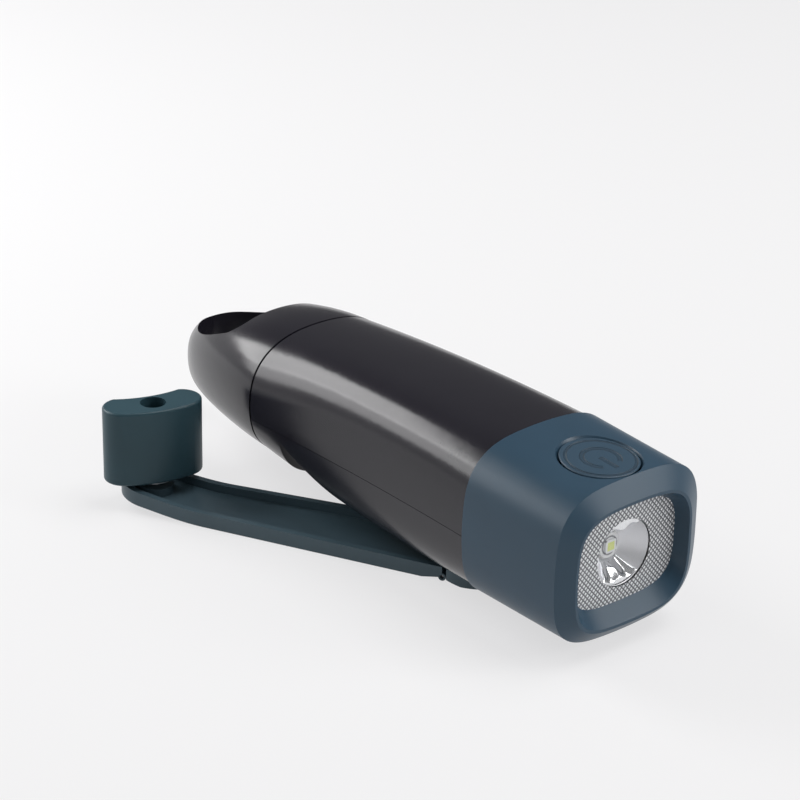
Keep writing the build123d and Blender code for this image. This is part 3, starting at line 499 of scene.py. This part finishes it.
def lobe(middle, lift):
    """Sector of the cone about a middle direction, lifted by arch times flank times flutes."""
    across = np.linspace(-1, 1, 73)[None, :]
    along = np.linspace(0, 1, 40)[:, None]
    turn = middle + LOBE_HALF_ANGLE * across
    radius = CONE_THROAT + LOBE_INSET + along * (CONE_MOUTH - CONE_THROAT - 2 * LOBE_INSET)
    arch = (1 - np.abs(2 * along - 1) ** 2.5) ** 0.7
    flank = (1 - across ** 4) ** 0.5
    flutes = 1 - FLUTE_DEPTH + FLUTE_DEPTH * np.cos(across * LOBE_FLUTES * np.pi)
    x = np.minimum(cone_depth(radius) + lift * arch * flank * flutes, LOBE_FRONT)
    return np.stack([x, radius * np.cos(turn), LAMP_Z + radius * np.sin(turn)], -1)


surface("lobe_above", lobe(math.pi / 2, LOBE_ABOVE_LIFT), chrome, "housing")
surface("lobe_below", lobe(-math.pi / 2, LOBE_BELOW_LIFT), chrome, "housing")

# %% [markdown]
# ## The light source
#
# The light source is a white collar with a dark ring, and a square of yellow phosphor in its
# middle. Its body is in the solid model, and only the colours are missing. They could be separate
# small meshes. Here the material works out how far each point is from the middle: the larger of
# the two distances along y and z draws a square, and the root of their squares draws a circle.

# %% Light source
COLLAR_RADIUS = 2.5
RING_OUTER = 0.32
RING_INNER = 0.14
PHOSPHOR_HALF = 1.2
PHOSPHOR_BLUR = 0.1
COLLAR_WHITE = (0.78, 0.79, 0.8)
RING_GREY = (0.2, 0.2, 0.22)
PHOSPHOR_DARK = (0.6, 0.68, 0.12)
PHOSPHOR_PALE = (0.8, 0.86, 0.3)


def source_material():
    """Phosphor inside the square, a dark ring near the collar's line, and white elsewhere."""
    material, shader, start = new_material("light_source")
    where = place(start)
    y = axis(where, 1)
    z = axis(where, 2) - LAMP_Z
    reach = y.math("ABSOLUTE").math("MAXIMUM", z.math("ABSOLUTE"))
    phosphor = reach.fade(PHOSPHOR_HALF + PHOSPHOR_BLUR, PHOSPHOR_HALF - PHOSPHOR_BLUR)
    off_ring = ((y * y + z * z).math("SQRT") - COLLAR_RADIUS).math("ABSOLUTE")
    collar = tinted(off_ring.fade(RING_OUTER, RING_INNER), COLLAR_WHITE, RING_GREY)
    yellow = tinted(noise(where, 0.5), PHOSPHOR_DARK, PHOSPHOR_PALE)
    feed(start.tree, shader.inputs["Base Color"], blend(phosphor, collar, yellow))
    feed(start.tree, shader.inputs["Roughness"], 0.25 + phosphor * 0.2)
    return material


frame["nodes"]["led_package"].data.materials[0] = source_material()
print("light source is at height, mm:", round(float(LAMP_Z), 1))

# %% [markdown]
# ## The button cap
#
# The power button fills a dished seat in the head, and its top carries on the crown of the head.
# The cap of the solid model is flat, so this one takes its place. A disc of points is laid on the
# head's own formula and rounded over at its edge, and a skirt goes down along the wall of the
# dish, with a gap all round. A Shrinkwrap modifier would press the disc into the dish, because
# the head has no surface left where the cap goes. The formula still knows where it would be.

# %% Shape of the button cap
button_low, button_high = (np.array(corner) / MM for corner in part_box("power_button"))
BUTTON_X = (button_low[0] + button_high[0]) / 2

# Sections of the head at its rear and front: place along x, half width, crown height, power.
HEAD_REAR = (21.1, 26.1, 50.3, 3.2)
HEAD_FRONT = (54.4, 25.0, 48.0, 3.5)
HEAD_LOW = 4.55

DISH_Z = 46.9
DISH_RADIUS = 10.2
DISH_SLOPE = 0.6

CAP_POLE = 0.01
CAP_GAP = 0.55
CAP_DROP = 0.05
CAP_ROUND = 0.45
CAP_ROUND_START = 0.955
CAP_SKIRT = 1.9
RIM_ROUNDS = 8


def head_top(x, y):
    """Height of the head's crowned top: sections change evenly from the rear to the front."""
    share = (x - HEAD_REAR[0]) / (HEAD_FRONT[0] - HEAD_REAR[0])
    half_width, crown, power = (a + share * (b - a) for a, b in zip(HEAD_REAR[1:], HEAD_FRONT[1:]))
    half_height = (crown - HEAD_LOW) / 2
    arch = (1 - np.abs(y / half_width) ** power) ** (1 / power)
    return HEAD_LOW + half_height + half_height * arch


def dish_radius(height):
    """Radius of the dish at a height: even up to DISH_Z, and flaring by the slope above it."""
    return DISH_RADIUS + DISH_SLOPE * np.maximum(height - DISH_Z, 0)


def cap_rim(turn):
    """Radius of the cap in each direction.

    The rim depends on the head's height above it, and that height on the rim. Putting one into
    the other a few times settles both.
    """
    rim = np.full_like(turn, DISH_RADIUS)
    for _ in range(RIM_ROUNDS):
        height = head_top(BUTTON_X + rim * np.cos(turn), rim * np.sin(turn))
        rim = dish_radius(height - CAP_DROP - CAP_ROUND) - CAP_GAP
    return rim


def button_cap():
    """Cap that fills the dished seat: its top follows the head and its skirt the dish."""
    turn = np.linspace(0, 2 * np.pi, 181)[:-1]
    rim = cap_rim(turn)
    share = np.concatenate([np.linspace(CAP_POLE, 0.92, 40), np.linspace(0.935, 1, 10)])[:, None]
    top_radius = share * rim
    past_start = np.clip((share - CAP_ROUND_START) / (1 - CAP_ROUND_START), 0, 1)
    edge_round = CAP_ROUND * (1 - np.sqrt(1 - past_start ** 2))
    crown = head_top(BUTTON_X + top_radius * np.cos(turn), top_radius * np.sin(turn))
    top_z = crown - CAP_DROP - edge_round
    down = np.linspace(0.1, 1, 6)[:, None]
    skirt_z = top_z[-1] + (button_high[2] - CAP_SKIRT - top_z[-1]) * down
    skirt_radius = np.minimum(dish_radius(skirt_z) - CAP_GAP, rim)
    radius = np.concatenate([top_radius, skirt_radius])
    z = np.concatenate([top_z, skirt_z])
    return np.stack([BUTTON_X + radius * np.cos(turn), radius * np.sin(turn), z], -1)


cap_points = button_cap()
print("button cap across, mm:", np.round(np.ptp(cap_points[..., 1]), 2))

# %% [markdown]
# ## The sign on the button
#
# The usual sign for power, an open circle with a bar in its gap, is sunk into the cap, with a
# fine line near the cap's edge. The sign is drawn by distances: how far a point is from the
# circle's line, and how far from the bar's. The Bump node turns the closest of them into a
# soft-edged groove, and the groove's teal is darkened as painted shade. Cutting a groove this
# fine into the mesh would need a far denser grid.

# %% Sign
SIGN_RADIUS = 4.9
SIGN_STROKE = 0.5
SIGN_BAR = 5.8
SIGN_GAP_SLOPE = 0.75
GROOVE_OUTER = 0.22
GROOVE_INNER = 0.1
GROOVE_DEPTH = 0.6
LIP_RADIUS = 9.1
LIP_THINNER = 0.25
FAR_OFF = 9
PIT_SHARE = 0.06


def button_material():
    """Soft-touch teal, with a groove where the closest line is nearer than its stroke, and painted
    shade in the groove.
    """
    material, shader, start = new_material("button_teal")
    where = place(start)
    x = axis(where, 0) - BUTTON_X
    side = axis(where, 1).math("ABSOLUTE")
    reach = (x * x + side * side).math("SQRT")
    in_gap = side < x * SIGN_GAP_SLOPE
    to_circle = (reach - SIGN_RADIUS).math("ABSOLUTE") + in_gap * FAR_OFF
    to_bar = side.math("MAXIMUM", (x - SIGN_BAR / 2).math("ABSOLUTE") - SIGN_BAR / 2 + SIGN_STROKE)
    to_lip = (reach - LIP_RADIUS).math("ABSOLUTE") + LIP_THINNER
    nearest = to_circle.math("MINIMUM", to_bar).math("MINIMUM", to_lip)
    on_top = axis(where, 2) > DISH_Z
    groove = nearest.fade(SIGN_STROKE + GROOVE_OUTER, SIGN_STROKE - GROOVE_INNER) * on_top
    relief = noise(where, 0.3, 1.0) * PIT_SHARE - groove
    bump = {"Height": relief, "Strength": 1.0, "Distance": GROOVE_DEPTH * MM}
    feed(start.tree, shader.inputs["Normal"], start.node("ShaderNodeBump", bump))
    # Painted shade: the teal is darker inside the sunk groove of the sign and the lip.
    darker = tuple(c * 0.78 for c in TEAL)
    feed(start.tree, shader.inputs["Base Color"], tinted(groove, TEAL, darker))
    patches = noise(where, PATCH_SIZE)
    feed(start.tree, shader.inputs["Roughness"], 0.46 + (patches - 0.5) * PATCH_ROUGHNESS)
    return material


cap = surface("button_cap", cap_points, button_material(), "button", True)
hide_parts("power_button")

# %% [markdown]
# ## The floor
#
# The picture has a white ground with no horizon. A floor as bright as that would throw so much
# light back that the object's lower sides would lose their shade. So the sheet has two looks.
# The eye, glossy reflections and clear pieces see an even glow mixed with the lit sheet, which
# keeps the object's shadow. Light that bounces softly on to the object meets the lit sheet alone,
# which is a middling grey. A Light Path node tells the kinds of rays apart.

# %% Floor
FLOOR_HALF = 3.0
FLOOR_COLOR = 0.66
FLOOR_GLOW = (0.985, 0.98, 0.99, 1)
FLOOR_GLOW_SHARE = 0.66


def floor_sheet():
    """Flat square under the object."""
    mesh = bpy.data.meshes.new("floor")
    h = FLOOR_HALF
    mesh.from_pydata([(-h, -h, 0), (h, -h, 0), (h, h, 0), (-h, h, 0)], [], [(0, 1, 2, 3)])
    sheet = bpy.data.objects.new("floor", mesh)
    scene.collection.objects.link(sheet)
    return sheet


def floor_material():
    """Lit grey sheet, mixed with an even glow for camera, glossy and transmission rays."""
    material, shader, start = new_material("floor")
    shader.inputs["Base Color"].default_value = (FLOOR_COLOR, FLOOR_COLOR, FLOOR_COLOR, 1)
    shader.inputs["Roughness"].default_value = 0.9
    shader.inputs["Specular IOR Level"].default_value = 0.0
    seen = start.node("ShaderNodeLightPath", {}, output=0)
    mirrored = start.node("ShaderNodeLightPath", {}, output=3)
    through = start.node("ShaderNodeLightPath", {}, output=6)
    share = (seen + mirrored + through).math("MINIMUM", 1.0) * FLOOR_GLOW_SHARE
    glow = start.node("ShaderNodeEmission", {"Color": FLOOR_GLOW, "Strength": 1.0})
    lit = Signal(start.tree, shader.outputs[0])
    mixed = start.node("ShaderNodeMixShader", {0: share, 1: lit, 2: glow})
    output = start.tree.nodes["Material Output"]
    start.tree.links.new(mixed.socket, output.inputs["Surface"])
    return material


floor = floor_sheet()
floor.data.materials.append(floor_material())
print("floor side, m:", 2 * FLOOR_HALF)

# %% [markdown]
# ## The room
#
# The dark, glossy body shows mostly what is around it. The world stands for a dim studio with two
# pale walls, one beyond the tail and one on the near side of it. A photograph of a studio could
# be wrapped round the scene instead, but two soft-edged patches are easier to move. Each patch is
# a product of three fades, one for each part of the direction that a ray looks in.

# %% World
WORLD_CEILING = 0.17
WORLD_WALL = 0.7

world = bpy.data.worlds.new("studio")
scene.world = world
world.use_nodes = True
sky = Signal(world.node_tree)
direction = sky.node("ShaderNodeTexCoord", {}, output=0)
forward = axis(direction, 0)
sideways = axis(direction, 1)
upward = axis(direction, 2)
tail_wall = upward.fade(0.38, 0.12) * forward.fade(-0.7, -0.84) * sideways.fade(0.55, 0.3)
near_wall = upward.fade(0.6, 0.3) * forward.fade(0.1, -0.5) * sideways.fade(-0.15, -0.5)
wall = tail_wall.math("MAXIMUM", near_wall)
glow = WORLD_CEILING + wall * (WORLD_WALL - WORLD_CEILING)
background = world.node_tree.nodes["Background"]
background.inputs["Color"].default_value = (1, 1, 1, 1)
feed(world.node_tree, background.inputs["Strength"], glow)
print("room strength, ceiling and walls:", WORLD_CEILING, WORLD_WALL)

# %% [markdown]
# ## The lamps
#
# The lamps are rectangles of light, because a soft box's straight edges are what a glossy body
# shows. A highlight is placed by asking where the camera's line of sight goes when the surface
# mirrors it, and putting a lamp there.
#
# - The left panel hangs over the floor beyond the tail, facing down. Its mirror image is the long
#   bright line along the near shoulder of the body.
# - The left wing hangs beside it and widens that image. It adds no soft light of its own.
# - The near box is a weak fill for the side that faces the camera.
# - The far box lights the front of the head and the lens.
# - The top box is the main lamp. It hangs high on the far side, so the soft shadow falls to the
#   near side.


# %% Lamps
def soft_lamp(name, place_mm, aim_mm, size_mm, power):
    """Rectangular area lamp at a place, turned to face a point.

    The first of its two sizes lies along x as far as the turn allows.
    """
    data = bpy.data.lights.new(name, "AREA")
    data.shape = "RECTANGLE"
    data.size, data.size_y = (side * MM for side in size_mm)
    data.energy = power
    lamp = bpy.data.objects.new(name, data)
    spot = np.array(place_mm) * MM
    away = spot - np.array(aim_mm) * MM
    away /= np.linalg.norm(away)
    upright = np.cross(away, (1, 0, 0))
    upright /= np.linalg.norm(upright)
    matrix = np.eye(4)
    matrix[:3, 0] = np.cross(upright, away)
    matrix[:3, 1] = upright
    matrix[:3, 2] = away
    matrix[:3, 3] = spot
    lamp.matrix_world = matrix.T.tolist()
    scene.collection.objects.link(lamp)
    return lamp


soft_lamp("left_panel", (-740, -230, 400), (-740, -190, 0), (800, 350), 6.2)
left_wing = soft_lamp("left_wing", (-700, -500, 310), (-700, -260, -10), (740, 300), 2.9)
left_wing.visible_diffuse = False
soft_lamp("near_box", (-150, -900, 480), (-30, 0, 20), (600, 400), 0.5)
soft_lamp("far_box", (700, 590, 440), (0, 0, 20), (500, 400), 4.2)
soft_lamp("top_box", (300, 500, 1500), (-30, 0, 20), (1000, 1000), 15)
print("lamps:", len(bpy.data.lights))
